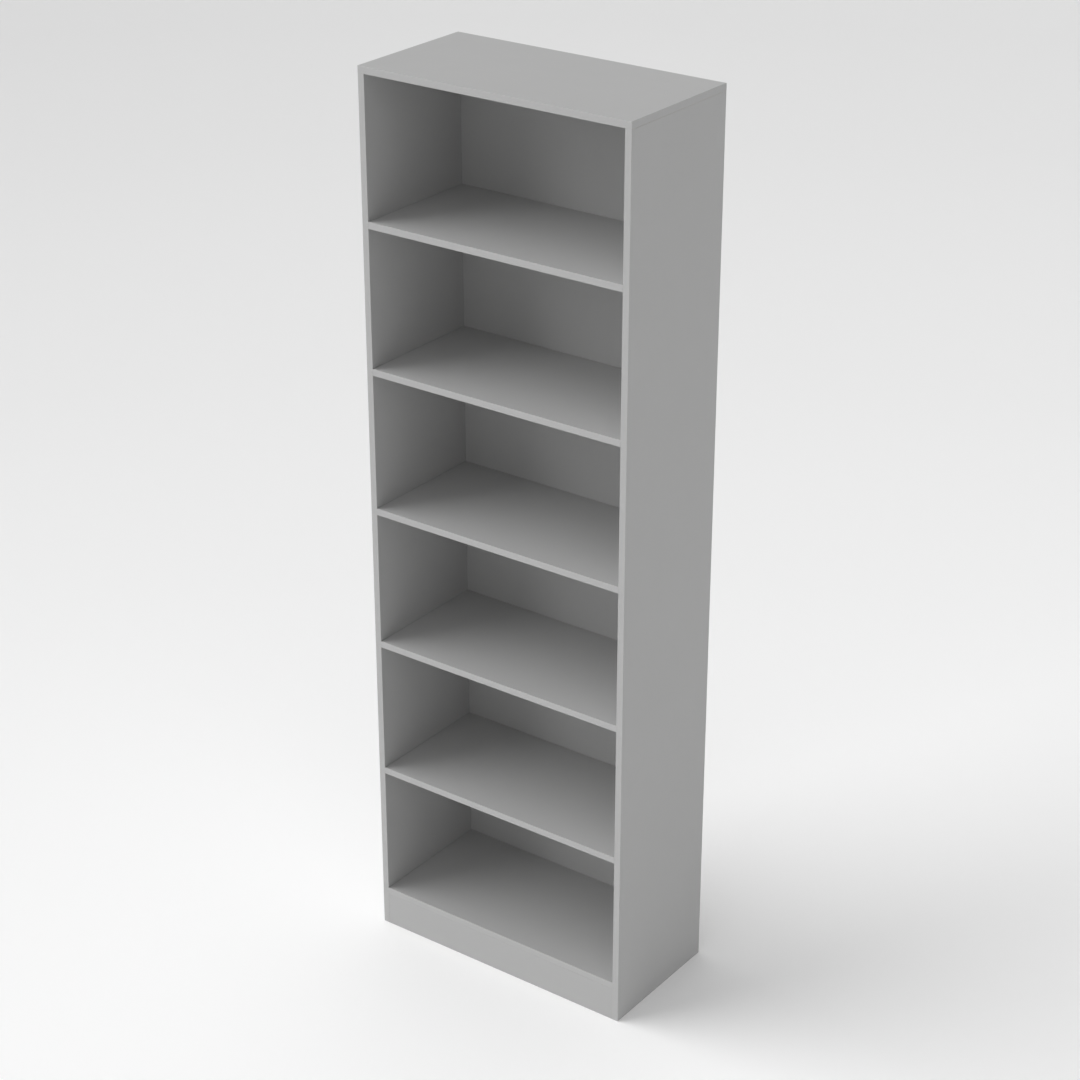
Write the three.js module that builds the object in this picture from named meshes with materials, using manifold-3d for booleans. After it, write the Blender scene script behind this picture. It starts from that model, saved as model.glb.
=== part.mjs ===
// A tall open bookcase of 15 mm melamine-faced board: two sides, a top panel laid over them, a
// bottom panel on a plinth, one fixed shelf, four adjustable shelves on pins and a thin back panel
// held in grooves. Cam fittings and dowels join the case. Sizes are in millimetres. The origin is
// on the floor under the middle of the case, X runs to the right, Y to the back and Z up.
import * as THREE from "three";
import { mergeVertices } from "three/addons/utils/BufferGeometryUtils.js";
import Module from "manifold-3d";

const wasm = await Module();
wasm.setup();

// The case
const WIDTH = 650;
const DEPTH = 320;
const HEIGHT = 2000;
const BOARD = 15;
const PLINTH_HEIGHT = 80;
const TIERS = 6; // compartments, one above another
const FIXED_LEVEL = 3; // the level, counted from the bottom panel, of the fixed shelf

// The back panel and its grooves
const BACK_THICKNESS = 3;
const BACK_INSET = 10; // from the rear edges of the case to the back panel
const SIDE_GROOVE_DEPTH = 7;
const END_GROOVE_DEPTH = 5; // in the top and bottom panels
const GROOVE_PLAY = 0.2; // on each face of the back panel
const GROOVE_END_PLAY = 0.5; // between its edges and the groove's floor

// Shelves and their pins
const SHELF_END_GAP = 0.3; // an adjustable shelf is this much short of each side
const SHELF_REAR_GAP = 1; // from an adjustable shelf to the back panel
const FIXED_REAR_GAP = 0.5;
const HOLE_SPACING = 32; // between a shelf's heights, and the module of the columns
const HOLES_EACH_WAY = 1; // spare heights above and below the one in use
const FRONT_COLUMN = 37; // from the front edge to the front column of holes
const COLUMN_MODULES = 7; // from the front column to the rear one
const PIN_HOLE = { diameter: 5, depth: 10 };
const PIN = { peg: 8.5, collar: 9, collarThickness: 1.2, reach: 12, width: 10, thickness: 2, rib: 2 };
const PIN_AXIS_DROP = 2.5; // from the shelf's underside to the peg's axis
const PIN_GAP = 0.2; // from the pin to the shelf above it and to the side beside it

// Fittings
const FIT = 0.2; // radial gap of a round piece in its hole
const CAM = { diameter: 15, depth: 12.5, length: 12.2, backset: 24, recess: 2 };
const BOLT_BORE = 8; // across the bore that the bolt's shank lies in
const BOLT_HOLE = { diameter: 5, depth: 11.5 };
const DOWEL = { diameter: 8, length: 30, inFace: 10.5, chamfer: 1 };
const DOWEL_PLAY = 0.7; // from a dowel's ends to the ends of its holes
const PAST = 1; // how far a cutting tool starts outside the surface that it cuts
const SIDES_OF = { small: 10, medium: 12, large: 24 }; // facets round a hole or a rod

// Worked out from the driving dimensions
const INNER = WIDTH / 2 - BOARD; // from the middle to a side's inner face
const FRONT = -DEPTH / 2;
const REAR = DEPTH / 2;
const BACK_REAR = REAR - BACK_INSET;
const BACK_FRONT = BACK_REAR - BACK_THICKNESS;
const UNDER_TOP = HEIGHT - BOARD;
const BOTTOM_TOP = PLINTH_HEIGHT + BOARD;
const TIER_PITCH = (HEIGHT - BOTTOM_TOP) / TIERS;
const FRONT_ROW = FRONT + FRONT_COLUMN;
const REAR_ROW = FRONT_ROW + COLUMN_MODULES * HOLE_SPACING;
const MIDDLE_ROW = (FRONT_ROW + REAR_ROW) / 2;
const TOP_CAM_ROW = FRONT_ROW + 3 * HOLE_SPACING;

const HANDS = { left: -1, right: 1 };
const ROWS = { front: FRONT_ROW, rear: REAR_ROW };
const X_AXIS = new THREE.Vector3(1, 0, 0);
const Z_AXIS = new THREE.Vector3(0, 0, 1);

function finish(color, roughness, metalness) {
  return new THREE.MeshStandardMaterial({ color, roughness, metalness, flatShading: true });
}

const LOOKS = {
  board: () => finish(0xb3b3b2, 0.55, 0),
  back: () => finish(0xabaaa8, 0.7, 0),
  zinc: () => finish(0xb9bcbf, 0.4, 1),
  steel: () => finish(0xc9ccd0, 0.3, 1),
  beech: () => finish(0xd3ae7c, 0.8, 0),
};

// Shapes: blocks, rods and the joining and cutting of closed meshes

function block(x, y, z) {
  const middle = [x, y, z].map(([low, high]) => (low + high) / 2);
  return new THREE.BoxGeometry(x[1] - x[0], y[1] - y[0], z[1] - z[0]).translate(...middle);
}

function rod(start, direction, length, radius, sides) {
  const turn = new THREE.Quaternion().setFromUnitVectors(new THREE.Vector3(0, 1, 0), direction);
  return new THREE.CylinderGeometry(radius, radius, length, sides)
    .translate(0, length / 2, 0)
    .applyQuaternion(turn)
    .translate(start.x, start.y, start.z);
}

function toSolid(geometry) {
  const bare = geometry.clone();
  bare.deleteAttribute("normal");
  bare.deleteAttribute("uv");
  const merged = mergeVertices(bare, 1e-4);
  const vertProperties = new Float32Array(merged.attributes.position.array);
  const triVerts = new Uint32Array(merged.index.array);
  return new wasm.Manifold(new wasm.Mesh({ numProp: 3, vertProperties, triVerts }));
}

function toGeometry(solid) {
  const { vertProperties, triVerts } = solid.getMesh();
  const geometry = new THREE.BufferGeometry();
  geometry.setAttribute("position", new THREE.BufferAttribute(vertProperties, 3));
  geometry.setIndex(new THREE.BufferAttribute(triVerts, 1));
  return geometry;
}

function cut(base, tools) {
  return toGeometry(tools.reduce((solid, tool) => solid.subtract(toSolid(tool)), toSolid(base)));
}

function join(pieces) {
  return toGeometry(pieces.slice(1).reduce((solid, piece) => solid.add(toSolid(piece)), toSolid(pieces[0])));
}

// The boards, each with the list of tools that cut it

const boards = {};

function board(name, look, x, y, z) {
  boards[name] = { look, blank: block(x, y, z), tools: [] };
}

function bore(name, mouth, direction, diameter, depth, sides) {
  const start = mouth.clone().addScaledVector(direction, -PAST);
  boards[name].tools.push(rod(start, direction, depth + PAST, diameter / 2, sides));
}

function addBoards() {
  for (const [hand, side] of Object.entries(HANDS)) {
    const faces = [side * INNER, (side * WIDTH) / 2].sort((a, b) => a - b);
    board(`side_panel_${hand}`, "board", faces, [FRONT, REAR], [0, UNDER_TOP]);
  }
  const between = [-INNER, INNER];
  board("top_panel", "board", [-WIDTH / 2, WIDTH / 2], [FRONT, REAR], [UNDER_TOP, HEIGHT]);
  board("bottom_panel", "board", between, [FRONT, REAR], [PLINTH_HEIGHT, BOTTOM_TOP]);
  board("plinth_board", "board", between, [FRONT, FRONT + BOARD], [0, PLINTH_HEIGHT]);
  const edge = INNER + SIDE_GROOVE_DEPTH - GROOVE_END_PLAY;
  const ends = END_GROOVE_DEPTH - GROOVE_END_PLAY;
  const height = [BOTTOM_TOP - ends, UNDER_TOP + ends];
  board("back_panel", "back", [-edge, edge], [BACK_FRONT, BACK_REAR], height);
}

function cutGrooves() {
  const y = [BACK_FRONT - GROOVE_PLAY, BACK_REAR + GROOVE_PLAY];
  const reach = INNER + SIDE_GROOVE_DEPTH;
  for (const [hand, side] of Object.entries(HANDS)) {
    const x = [side * (INNER - PAST), side * reach].sort((a, b) => a - b);
    boards[`side_panel_${hand}`].tools.push(block(x, y, [-PAST, HEIGHT]));
  }
  const across = [-reach, reach];
  boards.top_panel.tools.push(block(across, y, [UNDER_TOP - PAST, UNDER_TOP + END_GROOVE_DEPTH]));
  boards.bottom_panel.tools.push(block(across, y, [BOTTOM_TOP - END_GROOVE_DEPTH, BOTTOM_TOP + PAST]));
}

// The shelves, counted from the lowest

const pins = [];

function levelTop(level) {
  return BOTTOM_TOP + level * TIER_PITCH;
}

function addPinHoles(hand, side, row, axisHeight) {
  for (let step = -HOLES_EACH_WAY; step <= HOLES_EACH_WAY; step += 1) {
    const mouth = new THREE.Vector3(side * INNER, row, axisHeight + step * HOLE_SPACING);
    const outward = X_AXIS.clone().multiplyScalar(side);
    bore(`side_panel_${hand}`, mouth, outward, PIN_HOLE.diameter, PIN_HOLE.depth, SIDES_OF.small);
  }
}

function addShelves() {
  let number = 0;
  for (let level = 1; level < TIERS; level += 1) {
    const height = [levelTop(level) - BOARD, levelTop(level)];
    if (level === FIXED_LEVEL) {
      board("fixed_shelf", "board", [-INNER, INNER], [FRONT, BACK_FRONT - FIXED_REAR_GAP], height);
      continue;
    }
    number += 1;
    const end = INNER - SHELF_END_GAP;
    const depth = [FRONT, BACK_FRONT - SHELF_REAR_GAP];
    board(`adjustable_shelf_${number}`, "board", [-end, end], depth, height);
    const axisHeight = height[0] - PIN_AXIS_DROP;
    for (const [hand, side] of Object.entries(HANDS)) {
      for (const [rowName, row] of Object.entries(ROWS)) {
        addPinHoles(hand, side, row, axisHeight);
        const name = `shelf_pin_${number}_${rowName}_${hand}`;
        pins.push({ name, side, place: new THREE.Vector3(side * INNER, row, axisHeight) });
      }
    }
  }
}

// A pin: a round peg, a collar that is flat on top, and a tongue with a rib under it. The peg
// points to -X and the tongue to +X, and the shelf lies on the tongue.
function pinGeometry() {
  const top = PIN_AXIS_DROP - PIN_GAP;
  const peg = rod(
    new THREE.Vector3(PIN_GAP + PIN.collarThickness / 2, 0, 0),
    X_AXIS.clone().negate(),
    PIN.peg + PIN.collarThickness / 2,
    PIN_HOLE.diameter / 2 - FIT,
    SIDES_OF.small,
  );
  const disc = rod(
    new THREE.Vector3(PIN_GAP, 0, 0),
    X_AXIS,
    PIN.collarThickness,
    PIN.collar / 2,
    SIDES_OF.medium,
  );
  const above = block([-PAST, PIN.reach], [-PIN.collar, PIN.collar], [top, PIN.collar]);
  const collar = cut(disc, [above]);

  const half = PIN.width / 2;
  const outline = new THREE.Shape();
  outline.moveTo(PIN_GAP + PIN.collarThickness / 2, -half);
  outline.lineTo(PIN.reach - half, -half);
  outline.absarc(PIN.reach - half, 0, half, -Math.PI / 2, Math.PI / 2, false);
  outline.lineTo(PIN_GAP + PIN.collarThickness / 2, half);
  const tongue = new THREE.ExtrudeGeometry(outline, {
    depth: PIN.thickness,
    bevelEnabled: false,
    curveSegments: SIDES_OF.small / 2,
  }).translate(0, 0, top - PIN.thickness);

  const web = new THREE.Shape();
  const underTongue = top - PIN.thickness / 2;
  web.moveTo(PIN_GAP + PIN.collarThickness / 2, -PIN.collar / 3);
  web.lineTo(PIN.reach - half, underTongue);
  web.lineTo(PIN_GAP + PIN.collarThickness / 2, underTongue);
  const rib = new THREE.ExtrudeGeometry(web, { depth: PIN.rib, bevelEnabled: false })
    .translate(0, 0, -PIN.rib / 2)
    .rotateX(Math.PI / 2);
  return join([peg, collar, tongue, rib]);
}

// A cam lock: a drum let into a board's face, at z = 0, with a cross recess for the screwdriver and
// a pocket, open towards +X, that the bolt's head lies in
function camGeometry() {
  const boltAxis = BOARD / 2;
  const radius = CAM.diameter / 2 - FIT;
  const drum = rod(new THREE.Vector3(0, 0, 0), Z_AXIS, CAM.length, radius, SIDES_OF.large);
  const pocket = BOLT_BORE / 2;
  const throat = 2.6;
  const arm = [-radius / 2, radius / 2];
  const slot = [-0.6, 0.6];
  return cut(drum, [
    block([-pocket, pocket], [-pocket, pocket], [boltAxis - pocket, boltAxis + pocket]),
    block([0, CAM.diameter], [-throat, throat], [boltAxis - throat, boltAxis + throat]),
    block(arm, slot, [-PAST, CAM.recess]),
    block(slot, arm, [-PAST, CAM.recess]),
  ]);
}

// A cam bolt, along +X from the cam's axis: head, neck, shank up to the joint, and screw
function boltGeometry() {
  const joint = CAM.backset;
  const shank = BOLT_BORE / 2 - FIT - 0.4;
  const screw = BOLT_HOLE.diameter / 2 - FIT;
  const tip = joint + BOLT_HOLE.depth - 0.5;
  const profile = [
    [0, -3],
    [2, -2.6],
    [3.2, -1],
    [3.2, 1],
    [2, 2.4],
    [2, CAM.diameter / 2 + 0.8],
    [shank, CAM.diameter / 2 + 1.6],
    [shank, joint],
    [screw, joint],
    [screw, tip - 2],
    [screw / 2, tip],
    [0, tip],
  ];
  const points = profile.map(([radius, along]) => new THREE.Vector2(radius, along));
  return new THREE.LatheGeometry(points, SIDES_OF.small).rotateZ(-Math.PI / 2);
}

// A dowel, along +X, with its middle chamfers left to its two ends
function dowelGeometry() {
  const radius = DOWEL.diameter / 2 - FIT;
  const ends = [DOWEL.inFace - DOWEL.length, DOWEL.inFace];
  const profile = [
    [0, ends[0]],
    [radius - DOWEL.chamfer, ends[0]],
    [radius, ends[0] + DOWEL.chamfer],
    [radius, ends[1] - DOWEL.chamfer],
    [radius - DOWEL.chamfer, ends[1]],
    [0, ends[1]],
  ];
  const points = profile.map(([r, along]) => new THREE.Vector2(r, along));
  return new THREE.LatheGeometry(points, SIDES_OF.small).rotateZ(-Math.PI / 2);
}

// The fittings. Each has a place, the direction `along` from its edge board to its face board,
// and for a cam the direction `inward` from the board's face to its core.

const cams = [];
const dowels = [];

function addCam(name, edgeBoard, faceBoard, place, inward, along) {
  cams.push({ name, face: place.clone().addScaledVector(inward, -BOARD / 2), inward, along });
  const joint = place.clone().addScaledVector(along, CAM.backset);
  const back = along.clone().negate();
  const faceMouth = place.clone().addScaledVector(inward, -BOARD / 2);
  bore(edgeBoard, faceMouth, inward, CAM.diameter, CAM.depth, SIDES_OF.large);
  bore(edgeBoard, joint, back, BOLT_BORE, CAM.backset, SIDES_OF.medium);
  bore(faceBoard, joint, along, BOLT_HOLE.diameter, BOLT_HOLE.depth, SIDES_OF.small);
}

function addDowel(name, edgeBoard, faceBoard, joint, along) {
  dowels.push({ name, joint, along });
  const inEdge = DOWEL.length - DOWEL.inFace;
  bore(edgeBoard, joint, along.clone().negate(), DOWEL.diameter, inEdge + DOWEL_PLAY, SIDES_OF.medium);
  bore(faceBoard, joint, along, DOWEL.diameter, DOWEL.inFace + DOWEL_PLAY, SIDES_OF.medium);
}

function addTopFittings(hand, side) {
  const panel = `side_panel_${hand}`;
  const core = side * (INNER + BOARD / 2);
  const outward = X_AXIS.clone().multiplyScalar(side);
  for (const [rowName, row] of Object.entries({ front: TOP_CAM_ROW, rear: REAR_ROW })) {
    const place = new THREE.Vector3(core, row, UNDER_TOP - CAM.backset);
    addCam(`top_${rowName}_${hand}`, panel, "top_panel", place, outward, Z_AXIS);
  }
  addDowel(`top_${hand}`, panel, "top_panel", new THREE.Vector3(core, FRONT_ROW, UNDER_TOP), Z_AXIS);
}

function addLevelFittings(label, shelf, core, hand, side) {
  const panel = `side_panel_${hand}`;
  const outward = X_AXIS.clone().multiplyScalar(side);
  for (const [rowName, row] of Object.entries(ROWS)) {
    const place = new THREE.Vector3(side * (INNER - CAM.backset), row, core);
    addCam(`${label}_${rowName}_${hand}`, shelf, panel, place, Z_AXIS, outward);
  }
  addDowel(`${label}_${hand}`, shelf, panel, new THREE.Vector3(side * INNER, MIDDLE_ROW, core), outward);
}

function addPlinthDowels() {
  const core = FRONT + BOARD / 2;
  for (const [hand, side] of Object.entries(HANDS)) {
    const joint = new THREE.Vector3(side * INNER, core, PLINTH_HEIGHT / 2);
    const outward = X_AXIS.clone().multiplyScalar(side);
    addDowel(`plinth_${hand}`, "plinth_board", `side_panel_${hand}`, joint, outward);
  }
  addDowel("plinth_middle", "plinth_board", "bottom_panel", new THREE.Vector3(0, core, PLINTH_HEIGHT), Z_AXIS);
}

function addFittings() {
  for (const [hand, side] of Object.entries(HANDS)) {
    addTopFittings(hand, side);
    addLevelFittings("fixed", "fixed_shelf", levelTop(FIXED_LEVEL) - BOARD / 2, hand, side);
    addLevelFittings("bottom", "bottom_panel", BOTTOM_TOP - BOARD / 2, hand, side);
  }
  addPlinthDowels();
}

// The assembly

const bookcase = new THREE.Group();

function put(name, geometry, look, place, xAxis, zAxis) {
  const mesh = new THREE.Mesh(geometry, LOOKS[look]());
  mesh.name = name;
  if (place) {
    const yAxis = new THREE.Vector3().crossVectors(zAxis, xAxis);
    mesh.quaternion.setFromRotationMatrix(new THREE.Matrix4().makeBasis(xAxis, yAxis, zAxis));
    mesh.position.copy(place);
  }
  bookcase.add(mesh);
}

function assemble() {
  addBoards();
  cutGrooves();
  addShelves();
  addFittings();
  for (const [name, { look, blank, tools }] of Object.entries(boards)) {
    put(name, cut(blank, tools), look);
  }
  const pin = pinGeometry();
  for (const { name, side, place } of pins) {
    put(name, pin, "zinc", place, X_AXIS.clone().multiplyScalar(-side), Z_AXIS);
  }
  const cam = camGeometry();
  const bolt = boltGeometry();
  for (const { name, face, inward, along } of cams) {
    const axis = face.clone().addScaledVector(inward, BOARD / 2);
    put(`cam_lock_${name}`, cam, "zinc", face, along, inward);
    put(`cam_bolt_${name}`, bolt, "steel", axis, along, inward);
  }
  const dowel = dowelGeometry();
  for (const { name, joint, along } of dowels) {
    const across = new THREE.Vector3(0, 1, 0);
    put(`dowel_${name}`, dowel, "beech", joint, along, across);
  }
}

assemble();

export default bookcase;
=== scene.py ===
"""Looks for the bookcase: finely made boards, edge bands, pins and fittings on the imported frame.

Everything is in metres in the frame's own axes: X to the right, Y to the back, Z up.
"""
import math

import bmesh
import bpy
from mathutils import Matrix, Vector


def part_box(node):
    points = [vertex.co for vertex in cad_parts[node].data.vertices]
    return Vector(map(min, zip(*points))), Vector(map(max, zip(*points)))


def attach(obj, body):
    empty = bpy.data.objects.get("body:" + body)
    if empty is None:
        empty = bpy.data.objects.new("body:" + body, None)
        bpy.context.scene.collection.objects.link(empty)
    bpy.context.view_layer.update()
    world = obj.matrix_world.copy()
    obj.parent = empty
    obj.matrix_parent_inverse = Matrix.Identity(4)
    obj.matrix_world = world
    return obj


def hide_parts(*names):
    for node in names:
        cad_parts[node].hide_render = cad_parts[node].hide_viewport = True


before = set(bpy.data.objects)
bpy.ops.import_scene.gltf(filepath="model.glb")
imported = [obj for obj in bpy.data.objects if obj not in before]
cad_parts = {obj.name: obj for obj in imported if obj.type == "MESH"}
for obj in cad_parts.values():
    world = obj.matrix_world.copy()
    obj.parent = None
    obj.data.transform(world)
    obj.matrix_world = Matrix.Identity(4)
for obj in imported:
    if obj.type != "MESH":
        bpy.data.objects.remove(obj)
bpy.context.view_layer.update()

MM = 0.001
X, Y, Z = Vector((1, 0, 0)), Vector((0, 1, 0)), Vector((0, 0, 1))

SIDES = {"front": -Y, "rear": Y, "left": -X, "right": X}
HANDS = {"left": -1, "right": 1}

# The camera stands to the right of the case and looks down at it
CAMERA_PLACE = (2.85146, -3.88787, 3.33166)
CAMERA_TURN = (64.192, 0.004, 36.255)
LENS, SENSOR = 84.906, 36

# The light: an even surround, and suns this many degrees wide, for soft shadows
SURROUND_LIGHT = 0.37
SUN_SPREAD = 60

# Boards and their edge bands
EDGE_ROUND = 0.6 * MM  # of a board's edges where there is no band
BAND_ROUND = 0.35 * MM  # of a band's long outer edges
SEAM_ROUND = 0.18 * MM  # where a band meets its board, and at its ends
BAND = 0.8 * MM
# A shelf's faced board comes this much nearer to each side panel than its CAD node does
SHELF_REACH = 0.2 * MM
JOINT_GAP = 0.05 * MM  # between the top panel and the sides under it
GROOVE_PLAY = 0.2 * MM  # on each face of the back panel
GROOVE_END_PLAY = 0.5 * MM  # past each edge of the back panel
GROOVE_THROUGH = 1  # past both ends of a side panel, so that its groove runs right through

# Holes and what goes in them
PIN_HOLE = {"diameter": 5 * MM, "depth": 10 * MM}
PIN_AXIS_BELOW_TOP = 2.3 * MM
HOLE_SPACING = 32 * MM
CAM_BACKSET = 24 * MM  # from the joint between two boards to the axis of the cam
CAM_BORE = {"diameter": 15 * MM, "depth": 12.5 * MM}
BOLT_BORE = {"diameter": 8 * MM, "depth": CAM_BACKSET}
BOLT_HOLE = {"diameter": 5 * MM, "depth": 11.5 * MM}
DOWEL_HOLE = 8 * MM
DOWEL_PLAY = 0.7 * MM  # at each end
OUTSIDE = 1 * MM  # cutting tools start this far outside the face

# Meshes
ROUND_SIDES = 32
FINE_SIDES = 64
WELD = 0.002 * MM  # corners nearer than this are one corner
ON_FACE = 0.01 * MM  # a point nearer than this to a face lies on it
FLAT = 0.9999  # a normal with more than this along one axis is a flat face's
SHARP_ANGLE = math.radians(35)


# ---------------------------------------------------------------------------- materials


GREY = (0.41, 0.41, 0.409)
NOISE_LOW, NOISE_HIGH = 0.3, 0.7  # a noise stays between these nearly everywhere
MIX_SHARE, MIX_FIRST, MIX_SECOND, MIX_RESULT = 0, 6, 7, 2  # a Mix node's sockets for colours


def shade(colour, factor):
    return tuple(channel * factor for channel in colour)


def even(value):
    return (value, value, value)


class Graph:
    """A material's node tree, with a Principled BSDF and short ways to add nodes."""

    def __init__(self, name, **settings):
        self.material = bpy.data.materials.new(name)
        self.material.use_nodes = True
        self.nodes = self.material.node_tree.nodes
        self.links = self.material.node_tree.links
        self.shader = self.nodes["Principled BSDF"]
        for socket, value in settings.items():
            self.shader.inputs[socket.replace("_", " ")].default_value = value
        self.place = self.add("ShaderNodeTexCoord").outputs["Object"]

    def add(self, kind, **settings):
        node = self.nodes.new(kind)
        for key, value in settings.items():
            setattr(node, key, value)
        return node

    def join(self, source, node, socket):
        self.links.new(source, node.inputs[socket])

    def stretched(self, scale):
        mapping = self.add("ShaderNodeMapping")
        mapping.inputs["Scale"].default_value = scale
        self.join(self.place, mapping, "Vector")
        return mapping.outputs["Vector"]

    def noise(self, scale, detail=2.0, roughness=0.5, stretch=(1, 1, 1)):
        node = self.add("ShaderNodeTexNoise")
        node.inputs["Scale"].default_value = scale
        node.inputs["Detail"].default_value = detail
        node.inputs["Roughness"].default_value = roughness
        self.join(self.stretched(stretch), node, "Vector")
        return node.outputs["Fac"]

    def chips(self, scale, stretch=(1, 1, 1)):
        node = self.add("ShaderNodeTexVoronoi")
        node.inputs["Scale"].default_value = scale
        self.join(self.stretched(stretch), node, "Vector")
        return node

    def spread(self, source, low, high):
        """A noise's usual range drawn out to low .. high."""
        node = self.add("ShaderNodeMapRange")
        self.join(source, node, "Value")
        node.inputs["From Min"].default_value = NOISE_LOW
        node.inputs["From Max"].default_value = NOISE_HIGH
        node.inputs["To Min"].default_value = low
        node.inputs["To Max"].default_value = high
        return node.outputs["Result"]

    def ramp(self, source, *stops):
        node = self.add("ShaderNodeValToRGB")
        elements = node.color_ramp.elements
        while len(elements) < len(stops):
            elements.new(0.5)
        for element, (position, colour) in zip(elements, stops):
            element.position = position
            element.color = (*colour, 1)
        self.join(source, node, "Fac")
        return node.outputs["Color"]

    def tinted(self, source, colour, low, high):
        """The colour, from low to high times as light over a noise's usual range."""
        return self.ramp(source, (NOISE_LOW, shade(colour, low)), (NOISE_HIGH, shade(colour, high)))

    def darken(self, share, colour, shadow):
        """The colour multiplied by the shadow, to the extent of share."""
        node = self.add("ShaderNodeMix", data_type="RGBA", blend_type="MULTIPLY")
        node.inputs[MIX_SHARE].default_value = share
        self.join(colour, node, MIX_FIRST)
        self.join(shadow, node, MIX_SECOND)
        return node.outputs[MIX_RESULT]

    def bump(self, height, distance, strength=0.5, under=None):
        node = self.add("ShaderNodeBump")
        node.inputs["Strength"].default_value = strength
        node.inputs["Distance"].default_value = distance
        self.join(height, node, "Height")
        if under is not None:
            self.join(under, node, "Normal")
        return node.outputs["Normal"]

    def finish(self, colour, roughness, normal=None):
        self.join(colour, self.shader, "Base Color")
        self.join(roughness, self.shader, "Roughness")
        if normal is not None:
            self.join(normal, self.shader, "Normal")
        return self.material


def melamine(name, colour, grain=0.05 * MM):
    """A plain decor sheet: even colour, very faint cloudiness and a fine pearled surface."""
    graph = Graph(name, Specular_IOR_Level=0.4)
    tone = graph.tinted(graph.noise(4, detail=3), colour, 0.996, 1.004)
    pearl = graph.noise(1100, detail=3)
    mixed = graph.darken(1.0, tone, graph.tinted(pearl, even(1.0), 0.985, 1.0))
    matte = graph.spread(graph.noise(18, detail=3), 0.53, 0.57)
    return graph.finish(mixed, matte, graph.bump(pearl, grain))


def edge_band(name, colour):
    """Plastic edging: the sheet's colour, a little glossier and with a finer surface."""
    graph = Graph(name, Specular_IOR_Level=0.4)
    tone = graph.tinted(graph.noise(9, detail=3), colour, 0.997, 1.003)
    matte = graph.spread(graph.noise(40, detail=3), 0.48, 0.53)
    return graph.finish(tone, matte, graph.bump(graph.noise(1500), 0.02 * MM))


def chipboard():
    """The cut core of a board: pressed chips with dark dust and small gaps between them."""
    graph = Graph("chipboard", Specular_IOR_Level=0.25)
    chips = graph.chips(420, stretch=(1, 1, 1.6))
    tone = graph.ramp(
        chips.outputs["Color"],
        (0.0, (0.36, 0.24, 0.13)),
        (0.35, (0.55, 0.40, 0.24)),
        (0.7, (0.66, 0.51, 0.33)),
        (1.0, (0.47, 0.32, 0.18)),
    )
    dust = graph.ramp(graph.noise(1600, detail=4), (0.35, even(0.7)), (0.6, even(1.0)))
    mixed = graph.darken(0.8, tone, dust)
    matte = graph.spread(graph.noise(300), 0.8, 0.95)
    rough = graph.bump(chips.outputs["Distance"], 0.25 * MM, 0.7)
    return graph.finish(mixed, matte, graph.bump(graph.noise(1400, detail=4), 0.15 * MM, 0.6, rough))


def hardboard():
    """The rear of the thin back panel: pressed fibre under a thin grey wash."""
    graph = Graph("hardboard", Specular_IOR_Level=0.3)
    cloud = graph.noise(7, detail=4)
    tone = graph.ramp(cloud, (NOISE_LOW, (0.345, 0.342, 0.336)), (NOISE_HIGH, (0.36, 0.357, 0.351)))
    fibre = graph.noise(500, detail=5, roughness=0.7, stretch=(0.5, 1, 1))
    flecks = graph.ramp(fibre, (0.3, even(0.86)), (0.5, even(1.0)), (0.75, (1.08, 1.07, 1.05)))
    mixed = graph.darken(0.8, tone, flecks)
    matte = graph.spread(graph.noise(90, detail=4), 0.62, 0.8)
    return graph.finish(mixed, matte, graph.bump(fibre, 0.08 * MM, 0.6))


def metal(name, colour, roughness, scale, depth):
    """Bare or plated metal: slightly uneven in tone and gloss, with the skin of its casting."""
    graph = Graph(name, Metallic=1.0)
    tone = graph.tinted(graph.noise(scale * 0.3, detail=4), colour, 0.9, 1.06)
    matte = graph.spread(graph.noise(scale, detail=5), roughness - 0.06, roughness + 0.1)
    return graph.finish(tone, matte, graph.bump(graph.noise(scale, detail=3), depth))


def beech():
    """Turned beech: pale, with its grain and short dark rays along the piece's own Z."""
    graph = Graph("beech", Specular_IOR_Level=0.3)
    grain = graph.noise(700, detail=4, stretch=(1, 1, 0.05))
    tone = graph.ramp(grain, (NOISE_LOW, (0.50, 0.31, 0.16)), (NOISE_HIGH, (0.68, 0.48, 0.29)))
    rays = graph.noise(1800, stretch=(1, 1, 0.15))
    dark = graph.ramp(rays, (0.28, even(0.72)), (0.38, even(1.0)))
    mixed = graph.darken(0.9, tone, dark)
    matte = graph.spread(graph.noise(200), 0.55, 0.7)
    return graph.finish(mixed, matte, graph.bump(grain, 0.05 * MM))


def studio_floor():
    """Pale paper with a painted pool of light: brightest in front of the case on the right, and painted
    slowly darker around that, standing in for the light falling off.
    """
    brightest, reach = (1.0, -1.4, 0), 10  # the tone stops changing this many metres away
    graph = Graph("studio_floor", Specular_IOR_Level=0.1)
    distance = graph.add("ShaderNodeVectorMath", operation="DISTANCE")
    graph.join(graph.place, distance, 0)
    distance.inputs[1].default_value = brightest
    share = graph.add("ShaderNodeMath", operation="MULTIPLY")
    graph.join(distance.outputs["Value"], share, 0)
    share.inputs[1].default_value = 1 / reach
    # painted light: the paper's tone falls with distance from the brightest point, in place of the lights'
    # own falloff
    tone = graph.ramp(
        share.outputs["Value"],
        (0.12, even(0.985)),
        (0.18, even(0.965)),
        (0.26, even(0.925)),
        (0.36, even(0.872)),
        (0.52, even(0.815)),
        (0.8, even(0.755)),
        (1.0, even(0.73)),
    )
    return graph.finish(tone, graph.spread(graph.noise(3), 0.88, 0.94))


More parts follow.
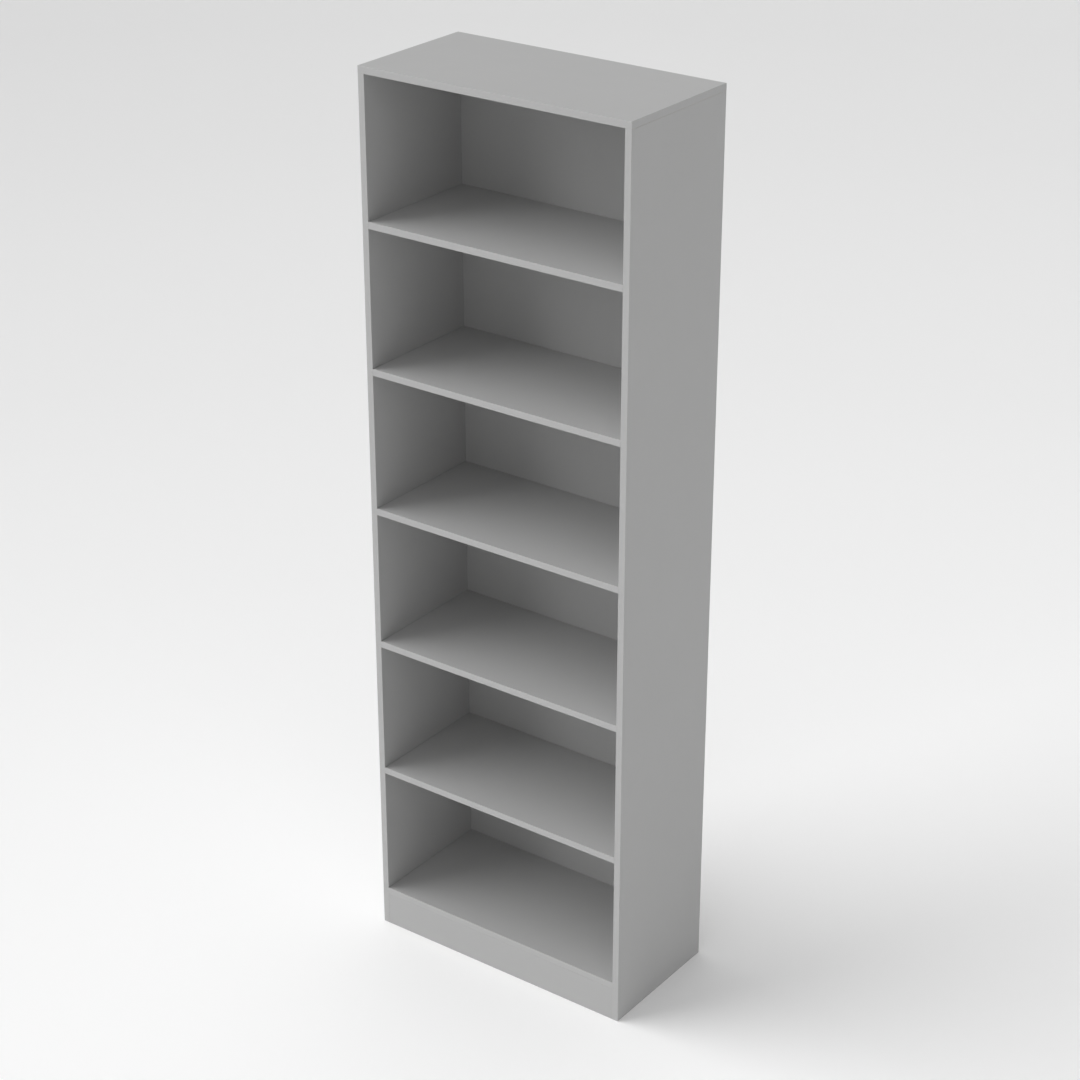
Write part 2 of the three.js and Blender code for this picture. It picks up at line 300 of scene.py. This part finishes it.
SHEET = melamine("melamine_sheet", GREY)
# painted shade: the plinth's sheet is the board grey made 4 % darker, standing in for shade at the foot of
# the case
PLINTH_SHADED_SHEET = melamine("plinth_sheet_painted_shade", shade(GREY, 0.96))
EDGING = edge_band("edge_band", shade(GREY, 0.985))
FOIL = melamine("back_foil", shade(GREY, 0.97), grain=0.025 * MM)
CORE = chipboard()
BARE = hardboard()
NICKEL = metal("nickel_plate", (0.64, 0.62, 0.58), 0.26, 900, 0.02 * MM)
ZINC = metal("cast_zinc", (0.50, 0.51, 0.53), 0.4, 700, 0.05 * MM)
STEEL = metal("plated_steel", (0.60, 0.60, 0.61), 0.3, 1200, 0.015 * MM)
BEECH = beech()


# ---------------------------------------------------------------------------- mesh tools


def add_object(name, data):
    """An object in the scene, with a mesh, a light or a camera as its data."""
    piece = bpy.data.objects.new(name, data)
    bpy.context.scene.collection.objects.link(piece)
    return piece


def from_bmesh(name, form):
    bmesh.ops.recalc_face_normals(form, faces=form.faces)
    mesh = bpy.data.meshes.new(name)
    form.to_mesh(mesh)
    form.free()
    return mesh


def settle(piece):
    """Applies a piece's modifiers to its mesh."""
    evaluated = piece.evaluated_get(bpy.context.evaluated_depsgraph_get())
    mesh = bpy.data.meshes.new_from_object(evaluated)
    mesh.name = piece.name
    piece.modifiers.clear()
    piece.data = mesh


def discard(piece):
    bpy.data.objects.remove(piece)


def add_block(form, low, high):
    middle, size = (low + high) / 2, high - low
    place = Matrix.Translation(middle) @ Matrix.Diagonal((*size, 1))
    bmesh.ops.create_cube(form, size=1, matrix=place)


def merge(form, other):
    """Puts another form's shapes into a form."""
    mesh = bpy.data.meshes.new("merged")
    other.to_mesh(mesh)
    other.free()
    form.from_mesh(mesh)
    bpy.data.meshes.remove(mesh)


def add_rod(form, start, direction, diameter, depth, sides=ROUND_SIDES):
    """A closed rod from start, along direction, for cutting a round hole."""
    turn = direction.to_track_quat("Z", "Y").to_matrix().to_4x4()
    place = Matrix.Translation(start + direction * depth / 2) @ turn
    radius = diameter / 2
    bmesh.ops.create_cone(
        form, cap_ends=True, segments=sides, radius1=radius, radius2=radius, depth=depth, matrix=place
    )


def add_lathe(form, profile, sides=ROUND_SIDES):
    """A turned form about Z from (radius, height) points, closed if both ends are on the axis."""
    rings = []
    for radius, height in profile:
        if radius == 0:
            rings.append([form.verts.new((0, 0, height))])
            continue
        angles = [2 * math.pi * step / sides for step in range(sides)]
        rings.append([form.verts.new((radius * math.cos(a), radius * math.sin(a), height)) for a in angles])
    for lower, upper in zip(rings, rings[1:]):
        for step in range(sides):
            after = (step + 1) % sides
            corners = [lower[step % len(lower)], lower[after % len(lower)]]
            corners += [upper[after % len(upper)], upper[step % len(upper)]]
            form.faces.new(list(dict.fromkeys(corners)))


def add_prism(form, outline, low, high):
    """A closed prism with an outline of (x, y) points, from z = low to z = high."""
    floor = [form.verts.new((x, y, low)) for x, y in outline]
    roof = [form.verts.new((x, y, high)) for x, y in outline]
    form.faces.new(floor[::-1])
    form.faces.new(roof)
    for step in range(len(outline)):
        after = (step + 1) % len(outline)
        form.faces.new((floor[step], floor[after], roof[after], roof[step]))


def rounded_block(name, low, high, radius_of):
    """A block whose twelve edges are rounded: radius_of(middle of the edge) gives each radius."""
    form = bmesh.new()
    add_block(form, low, high)
    weights = form.edges.layers.float.new("bevel_weight_edge")
    for edge in form.edges:
        middle = (edge.verts[0].co + edge.verts[1].co) / 2
        edge[weights] = radius_of(middle) / EDGE_ROUND
    piece = add_object(name, from_bmesh(name, form))
    bevel = piece.modifiers.new("round", "BEVEL")
    bevel.width, bevel.segments, bevel.limit_method = EDGE_ROUND, 3, "WEIGHT"
    bevel.use_clamp_overlap = False
    settle(piece)
    return piece


def weld(mesh):
    """Joins corners that lie in one place, so that no face is left without an area."""
    form = bmesh.new()
    form.from_mesh(mesh)
    bmesh.ops.remove_doubles(form, verts=form.verts, dist=WELD)
    bmesh.ops.dissolve_degenerate(form, edges=form.edges, dist=WELD)
    form.to_mesh(mesh)
    form.free()


def cut(piece, forms):
    """Takes each form out of the piece in turn."""
    for index, form in enumerate(forms):
        if not form.verts:
            form.free()
            continue
        tool = add_object(f"{piece.name}_tool_{index}", from_bmesh("tool", form))
        tool.hide_render = True
        boolean = piece.modifiers.new("cut", "BOOLEAN")
        boolean.operation, boolean.object, boolean.solver = "DIFFERENCE", tool, "EXACT"
        settle(piece)
        weld(piece.data)
        discard(tool)


def cast(piece, grain, keep):
    """Melts a piece's overlapping forms into one skin with the small fillets of a casting."""
    skin = piece.modifiers.new("skin", "REMESH")
    skin.mode, skin.voxel_size, skin.use_smooth_shade = "VOXEL", grain, True
    smooth = piece.modifiers.new("smooth", "SMOOTH")
    smooth.factor, smooth.iterations = 0.5, 3
    fewer = piece.modifiers.new("fewer", "DECIMATE")
    fewer.ratio = keep
    settle(piece)


def paint(mesh, *materials):
    mesh.materials.clear()
    for material in materials:
        mesh.materials.append(material)


def shade_round(mesh):
    """Smooth, with sharp edges where two faces meet at a clear angle."""
    for polygon in mesh.polygons:
        polygon.use_smooth = True
    mesh.set_sharp_from_angle(angle=SHARP_ANGLE)


def shade_edges(mesh):
    """Smooth on the rounded edges of a board or a band, and flat on its flat faces."""
    for polygon in mesh.polygons:
        polygon.use_smooth = max(abs(c) for c in polygon.normal) < FLAT


def turned(place, x_axis, z_axis):
    """The matrix that puts a piece made about the origin in its place."""
    basis = Matrix((x_axis, z_axis.cross(x_axis), z_axis)).transposed().to_4x4()
    return Matrix.Translation(place) @ basis


def settle_piece(piece, node, body):
    """Hangs the piece on its body's empty and, where it has a node, hides that node's part, which the piece
    stands in for.
    """
    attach(piece, body)
    if node:
        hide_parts(node)


def add_copy(node, mesh, place, body):
    """One of several pieces that share a mesh, in its own node's place."""
    piece = add_object(f"{node}_piece", mesh)
    piece.matrix_world = place
    settle_piece(piece, node, body)


# ---------------------------------------------------------------------------- holes


def middle_of(node):
    low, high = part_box(node)
    return (low + high) / 2


def nodes_of(prefix):
    return sorted(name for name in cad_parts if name.startswith(prefix))


def hand_of(node):
    return node.rsplit("_", 1)[1]


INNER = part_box("side_panel_right")[0].x  # from the middle of the case to a side panel's inner face


def pin_place(node):
    """The middle of the mouth of the pin's hole."""
    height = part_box(node)[1].z - PIN_AXIS_BELOW_TOP
    return Vector((HANDS[hand_of(node)] * INNER, middle_of(node).y, height))


def cam_frame(node):
    """A cam lock's place on its board's face, the way into the board, and the way its bolt points."""
    side = HANDS[hand_of(node)]
    middle = middle_of(node)
    if node.startswith("cam_lock_top"):
        return Vector((side * INNER, middle.y, middle.z)), X * side, Z
    return Vector((middle.x, middle.y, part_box(node)[0].z)), Z, X * side


def cam_board(node):
    """The board that a cam lock is sunk in."""
    return {
        "top": f"side_panel_{hand_of(node)}",
        "fixed": "fixed_shelf",
        "bottom": "bottom_panel",
    }[node.split("_")[2]]


def bolt_board(node):
    """The board that a cam lock's bolt is screwed into."""
    return "top_panel" if "_top_" in node else f"side_panel_{hand_of(node)}"


def dowel_boards(node):
    """The two boards that a dowel joins."""
    side = f"side_panel_{hand_of(node)}"
    return {
        "top": (side, "top_panel"),
        "fixed": (side, "fixed_shelf"),
        "bottom": (side, "bottom_panel"),
        "plinth": ("bottom_panel" if node.endswith("middle") else side, "plinth_board"),
    }[node.split("_")[1]]


def long_axis(node):
    low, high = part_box(node)
    size = high - low
    return max((X, Y, Z), key=lambda axis: size.dot(axis))


def pin_places(hand):
    """The mouths of one side's pin holes that have a pin."""
    return [pin_place(node) for node in nodes_of("shelf_pin") if hand_of(node) == hand]


def spare_places(hand):
    """The mouths of one side's spare pin holes: one above and one below each pin."""
    return [place + Z * step * HOLE_SPACING for place in pin_places(hand) for step in (-1, 1)]


def add_hole(form, mouth, inward, size, sides=ROUND_SIDES):
    """The cutting tool for a blind round hole."""
    add_rod(form, mouth - inward * OUTSIDE, inward, size["diameter"], size["depth"] + OUTSIDE, sides)


def add_pin_holes(holes, hand):
    for place in pin_places(hand) + spare_places(hand):
        add_hole(holes, place, X * HANDS[hand], PIN_HOLE)


def add_cam_holes(holes, bores, board):
    """The bores of a board's cam locks, the ways in for their bolts, and the bolts' screw holes."""
    for node in nodes_of("cam_lock"):
        place, inward, along = cam_frame(node)
        bolt = middle_of(node.replace("cam_lock", "cam_bolt"))
        joint = bolt + along * (CAM_BACKSET - (bolt - place).dot(along))
        if cam_board(node) == board:
            add_hole(holes, place, inward, CAM_BORE, FINE_SIDES)
            add_hole(bores, joint, -along, BOLT_BORE)
        if bolt_board(node) == board:
            add_hole(holes, joint, along, BOLT_HOLE)


def add_dowel_holes(holes, board):
    """The holes of a board's dowels. A rod as long as the dowel cuts both boards that it joins."""
    for node in nodes_of("dowel"):
        if board in dowel_boards(node):
            axis = long_axis(node)
            low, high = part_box(node)
            length = (high - low).dot(axis) + 2 * DOWEL_PLAY
            add_rod(holes, middle_of(node) - axis * length / 2, axis, DOWEL_HOLE, length)


def board_tools(board):
    """What is cut out of a board, as forms that are each free of overlaps."""
    holes, bores, grooves = bmesh.new(), bmesh.new(), bmesh.new()
    is_side = board.startswith("side_panel")
    if is_side:
        add_pin_holes(holes, hand_of(board))
    add_cam_holes(holes, bores, board)
    add_dowel_holes(holes, board)
    if is_side or board in ("top_panel", "bottom_panel"):
        low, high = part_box("back_panel")
        run = GROOVE_THROUGH if is_side else GROOVE_END_PLAY
        play = Vector((GROOVE_END_PLAY, GROOVE_PLAY, run))
        add_block(grooves, low - play, high + play)
    return holes, bores, grooves


# ---------------------------------------------------------------------------- boards


def paint_board(mesh, low, high, thin, sheet):
    """Sheet on the two broad faces, bare core on the cut edges and in the holes."""
    paint(mesh, sheet, CORE)
    for polygon in mesh.polygons:
        centre = Vector(polygon.center)
        depth = min((centre - low).dot(thin), (high - centre).dot(thin))
        faced = abs(polygon.normal.dot(thin)) > 0.5 and depth < EDGE_ROUND
        polygon.material_index = 0 if faced else 1


def is_on(point, side, low, high):
    """Whether the point lies on the face that a box from low to high has on that side."""
    face = high if sum(side) > 0 else low
    return abs((point - face).dot(side)) < ON_FACE


def core_box(low, high, banded):
    """The corners of what is left of a board inside its bands."""
    core_low, core_high = low.copy(), high.copy()
    for name in banded:
        side = SIDES[name]
        for i in range(3):
            if side[i] < 0:
                core_low[i] += BAND
            elif side[i] > 0:
                core_high[i] -= BAND
    return core_low, core_high


def band_box(low, high, side):
    """The corners of the band on one side of a board: the outer skin of the board there."""
    band_low, band_high = low.copy(), high.copy()
    for i in range(3):
        if side[i] > 0:
            band_low[i] = high[i] - BAND
        elif side[i] < 0:
            band_high[i] = low[i] + BAND
    if side.x:  # the front and rear bands run past the ends of the side bands
        band_low.y += BAND
        band_high.y -= BAND
    return band_low, band_high


def add_band(board, side_name, low, high, body):
    """The edge band on one side of a board from low to high."""
    side = SIDES[side_name]
    band_low, band_high = band_box(low, high, side)
    middle = (band_low + band_high) / 2
    end = max(band_high - band_low) / 2 - ON_FACE

    def band_round(place):
        """The band's long outer edges are rounded, and the rest are nearly sharp."""
        at_end = max(abs(c) for c in place - middle) > end
        return BAND_ROUND if is_on(place, side, low, high) and not at_end else SEAM_ROUND

    band = rounded_block(f"{board}_{side_name}_band", band_low, band_high, band_round)
    paint(band.data, EDGING)
    shade_edges(band.data)
    settle_piece(band, None, body)


def add_board(node, body, slot, banded, sheet=SHEET):
    """A faced board with its edge bands. banded lists the sides that have one."""
    low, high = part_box(node)
    if slot == "shelf_board":
        low -= X * SHELF_REACH
        high += X * SHELF_REACH
    if node.startswith("side_panel"):
        high.z -= JOINT_GAP
    size = high - low
    thin = min((X, Y, Z), key=lambda axis: size.dot(axis))
    core_low, core_high = core_box(low, high, banded)

    def core_round(place):
        """Nearly sharp where a band covers the edge."""
        covered = any(is_on(place, SIDES[name], core_low, core_high) for name in banded)
        return SEAM_ROUND if covered else EDGE_ROUND

    board = rounded_block(f"{node}_board", core_low, core_high, core_round)
    cut(board, board_tools(node))
    paint_board(board.data, core_low, core_high, thin, sheet)
    shade_edges(board.data)
    settle_piece(board, node, body)
    for name in banded:
        add_band(node, name, low, high, body)


def add_back_panel():
    """The thin back: foil on the side that faces the shelves, washed fibre on the other."""
    low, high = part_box("back_panel")
    panel = rounded_block("back_panel_sheet", low, high, lambda middle: SEAM_ROUND)
    paint(panel.data, FOIL, BARE)
    for polygon in panel.data.polygons:
        polygon.material_index = 0 if polygon.normal.y < -0.5 else 1
    settle_piece(panel, "back_panel", "case")


# ---------------------------------------------------------------------------- small pieces


def pin_form():
    """A shelf pin: the peg points to -X and the tongue to +X, and the shelf lies on the tongue."""
    peg, collar = 2.38 * MM, 4.5 * MM  # radii
    gap = 0.2 * MM  # between the side panel and the collar
    outer, reach, tip = gap + 1.2 * MM, 12 * MM, -8.5 * MM  # ends of collar, tongue and peg
    taper, taper_length = 0.8 * MM, 1.2 * MM
    top, tongue = PIN_AXIS_BELOW_TOP, 2 * MM  # the top of the tongue, and its thickness
    half, rib_half, rib_foot = 5 * MM, 1 * MM, -3 * MM  # half widths, and the rib's lowest point
    profile = [
        (0, outer),
        (collar, outer),
        (collar, gap),
        (peg, gap),
        (peg, tip + taper_length),
        (peg - taper, tip),
        (0, tip),
    ]
    form = bmesh.new()
    add_lathe(form, profile, sides=48)
    bmesh.ops.rotate(form, verts=form.verts, matrix=Matrix.Rotation(math.pi / 2, 3, "Y"))
    for vertex in form.verts:
        vertex.co.z = min(vertex.co.z, top)
    nose = [math.radians(step * 7.5 - 90) for step in range(25)]
    outline = [(gap, -half)]
    outline += [(reach - half + half * math.cos(a), half * math.sin(a)) for a in nose]
    outline.append((gap, half))
    add_prism(form, outline, top - tongue, top)
    rib = bmesh.new()
    corners = [(gap, rib_foot), (reach - half, top - tongue / 2), (gap, top - tongue / 2)]
    add_prism(rib, corners, -rib_half, rib_half)
    bmesh.ops.rotate(rib, verts=rib.verts, matrix=Matrix.Rotation(math.pi / 2, 3, "X"))
    merge(form, rib)
    return form


def cam_form():
    """A cam lock's drum: its face is at z = 0 and the way in for the bolt's head is on +X."""
    radius, length, chamfer = 7.3 * MM, 12.2 * MM, 0.4 * MM
    profile = [
        (0, 0),
        (radius - chamfer, 0),
        (radius, chamfer),
        (radius, length - chamfer),
        (radius - chamfer, length),
        (0, length),
    ]
    form = bmesh.new()
    add_lathe(form, profile, FINE_SIDES)
    return form


def block_form(low, high):
    form = bmesh.new()
    add_block(form, Vector(low), Vector(high))
    return form


def cam_tools():
    """The drum's cross recess and pointer, then the pocket and throat that the bolt's head uses."""
    arm, slot, recess = 3.4 * MM, 0.65 * MM, 2.2 * MM
    marks = block_form((-arm, -slot, -OUTSIDE), (arm, slot, recess))
    pointer = [(5.0 * MM, -0.9 * MM), (6.5 * MM, 0), (5.0 * MM, 0.9 * MM)]
    add_prism(marks, pointer, -OUTSIDE, 0.5 * MM)
    cross_arm = block_form((-slot, -arm, -OUTSIDE), (slot, arm, recess))
    axis, pocket, throat, beyond = 7.5 * MM, 4 * MM, 2.6 * MM, 15 * MM
    inside = block_form((-pocket, -pocket, axis - pocket), (pocket, pocket, axis + pocket))
    mouth = block_form((0, -throat, axis - throat), (beyond, throat, axis + throat))
    return marks, cross_arm, inside, mouth


def bolt_form():
    """A cam bolt along Z from the cam's axis: head, neck, shank, and a screw with ringed thread."""
    head, neck, shank, groove = 3.2 * MM, 2 * MM, 3.4 * MM, 0.5 * MM
    joint, tip, point = CAM_BACKSET, CAM_BACKSET + 11 * MM, 2 * MM
    profile = [
        (0, -3 * MM),
        (neck, -2.7 * MM),
        (head, -1 * MM),
        (head, 1 * MM),
        (neck, 2.4 * MM),
        (neck, 8.3 * MM),
        (shank, 9.1 * MM),
        (shank, joint - 1.2 * MM),
        (shank - groove, joint - 0.8 * MM),
        (shank, joint - 0.4 * MM),
        (shank, joint),
    ]
    root, crest, pitch = 1.6 * MM, 2.3 * MM, 1.4 * MM
    screw = joint + 0.3 * MM
    turns = int((tip - point - joint) / pitch)
    for turn in range(turns):
        height = screw + turn * pitch
        profile += [(root, height), (crest, height + pitch * 0.45), (crest, height + pitch * 0.55)]
    profile += [(root, screw + turns * pitch), (0.5 * MM, tip), (0, tip)]
    form = bmesh.new()
    add_lathe(form, profile)
    return form


def dowel_form():
    """A fluted dowel along Z, chamfered at both ends, about its own middle."""
    radius, half, chamfer, narrowed = 3.8 * MM, 15 * MM, 1.2 * MM, 0.8
    flute, flutes, flute_steps = 0.25 * MM, 20, 4
    steps = flutes * flute_steps
    levels = [(-half, narrowed), (-half + chamfer, 1), (half - chamfer, 1), (half, narrowed)]
    form = bmesh.new()
    rings = []
    for height, share in levels:
        ring = []
        for step in range(steps):
            angle = 2 * math.pi * step / steps
            reach = (radius - flute * (step % flute_steps == 0)) * share
            ring.append(form.verts.new((reach * math.cos(angle), reach * math.sin(angle), height)))
        rings.append(ring)
    form.faces.new(rings[0][::-1])
    form.faces.new(rings[-1])
    for lower, upper in zip(rings, rings[1:]):
        for step in range(steps):
            after = (step + 1) % steps
            form.faces.new((lower[step], lower[after], upper[after], upper[step]))
    return form


def plug_form(places, outward):
    """The flush plugs of one side's spare pin holes."""
    radius, length = PIN_HOLE["diameter"] / 2 - 0.06 * MM, 8 * MM
    sink, rim = 0.04 * MM, 0.25 * MM  # how far the face lies in the hole, and its rounded rim
    bend = 0.07 * MM  # how far the middle of the rim is from its two faces
    profile = [
        (0, sink),
        (radius - rim, sink),
        (radius - bend, sink + bend),
        (radius, sink + rim),
        (radius, length - 1 * MM),
        (radius - 0.5 * MM, length),
        (0, length),
    ]
    form = bmesh.new()
    for place in places:
        plug = bmesh.new()
        add_lathe(plug, profile)
        bmesh.ops.transform(plug, verts=plug.verts, matrix=turned(place, Y, outward))
        merge(form, plug)
    return form


def add_pins():
    model = add_object("pin_model", from_bmesh("shelf_pin", pin_form()))
    cast(model, grain=0.16 * MM, keep=0.3)
    mesh = model.data
    paint(mesh, NICKEL)
    for node in nodes_of("shelf_pin"):
        place = turned(pin_place(node), X * -HANDS[hand_of(node)], Z)
        add_copy(node, mesh, place, node.replace("shelf_pin", "pin"))
    discard(model)


def add_cams():
    model = add_object("cam_model", from_bmesh("cam_lock", cam_form()))
    cut(model, cam_tools())
    cast(model, grain=0.2 * MM, keep=0.3)
    mesh = model.data
    paint(mesh, ZINC)
    for node in nodes_of("cam_lock"):
        place, inward, along = cam_frame(node)
        add_copy(node, mesh, turned(place, along, inward), "case")
    discard(model)


def add_bolts():
    mesh = from_bmesh("cam_bolt", bolt_form())
    shade_round(mesh)
    paint(mesh, STEEL)
    for node in nodes_of("cam_bolt"):
        place, inward, along = cam_frame(node.replace("cam_bolt", "cam_lock"))
        middle = middle_of(node)
        start = middle + along * (place - middle).dot(along)
        add_copy(node, mesh, turned(start, inward, along), "case")


def add_dowels():
    mesh = from_bmesh("dowel", dowel_form())
    paint(mesh, BEECH)
    for node in nodes_of("dowel"):
        add_copy(node, mesh, turned(middle_of(node), Y, long_axis(node)), "case")


def add_plugs():
    for hand, side in HANDS.items():
        mesh = from_bmesh(f"hole_plugs_{hand}", plug_form(spare_places(hand), X * side))
        shade_round(mesh)
        paint(mesh, EDGING)
        settle_piece(add_object(f"hole_plugs_{hand}", mesh), None, "case")


# ---------------------------------------------------------------------------- the studio


def add_floor():
    """A round floor whose rim curves up into a backdrop on all sides."""
    flat, rise = 15.5, 5.5
    curve = [math.radians(step * 7.5) for step in range(1, 13)]
    profile = [(0, 0), (2, 0), (5, 0), (flat, 0)]
    profile += [(flat + rise * math.sin(a), rise * (1 - math.cos(a))) for a in curve]
    form = bmesh.new()
    add_lathe(form, profile, sides=96)
    floor = add_object("studio_floor", from_bmesh("studio_floor", form))
    for polygon in floor.data.polygons:
        polygon.use_smooth = True
    paint(floor.data, studio_floor())


def add_sun(name, azimuth, elevation, strength):
    """A soft distant light. Azimuth 0 is in front of the case, and it grows to the left."""
    light = bpy.data.lights.new(name, "SUN")
    light.energy, light.angle = strength, math.radians(SUN_SPREAD)
    lamp = add_object(name, light)
    a, e = math.radians(azimuth), math.radians(elevation)
    towards = Vector((-math.cos(e) * math.sin(a), -math.cos(e) * math.cos(a), math.sin(e)))
    lamp.location = towards * 10
    lamp.rotation_euler = towards.to_track_quat("Z", "Y").to_euler()


def add_lights():
    world = bpy.data.worlds.new("studio")
    bpy.context.scene.world = world
    world.use_nodes = True
    background = world.node_tree.nodes["Background"]
    background.inputs["Strength"].default_value = SURROUND_LIGHT
    background.inputs["Color"].default_value = (1, 1, 1, 1)
    add_sun("key", azimuth=60, elevation=30, strength=1.83)
    add_sun("low_key", azimuth=60, elevation=15, strength=1.48)
    add_sun("fill", azimuth=-30, elevation=45, strength=0.4)
    add_sun("back", azimuth=120, elevation=60, strength=0.48)


def add_camera():
    data = bpy.data.cameras.new("camera")
    data.lens, data.sensor_width = LENS, SENSOR
    data.clip_end = 200
    camera = add_object("camera", data)
    camera.location = CAMERA_PLACE
    camera.rotation_euler = [math.radians(angle) for angle in CAMERA_TURN]
    bpy.context.scene.camera = camera


# ---------------------------------------------------------------------------- the bookcase

add_camera()
for panel in ("side_panel_left", "side_panel_right", "bottom_panel"):
    add_board(panel, "case", "case_board", ["front", "rear"])
add_board("top_panel", "case", "case_board", ["front", "rear", "left", "right"])
add_board("fixed_shelf", "case", "case_board", ["front"])
# the plinth takes the darker sheet: painted shade at the foot of the case
add_board("plinth_board", "case", "case_board", [], PLINTH_SHADED_SHEET)
for number in range(1, 5):
    add_board(f"adjustable_shelf_{number}", f"shelf_{number}", "shelf_board", ["front"])
add_back_panel()
add_pins()
add_cams()
add_bolts()
add_dowels()
add_plugs()
add_floor()
add_lights()
bpy.context.scene.view_settings.view_transform = "Standard"

bpy.context.view_layer.update()
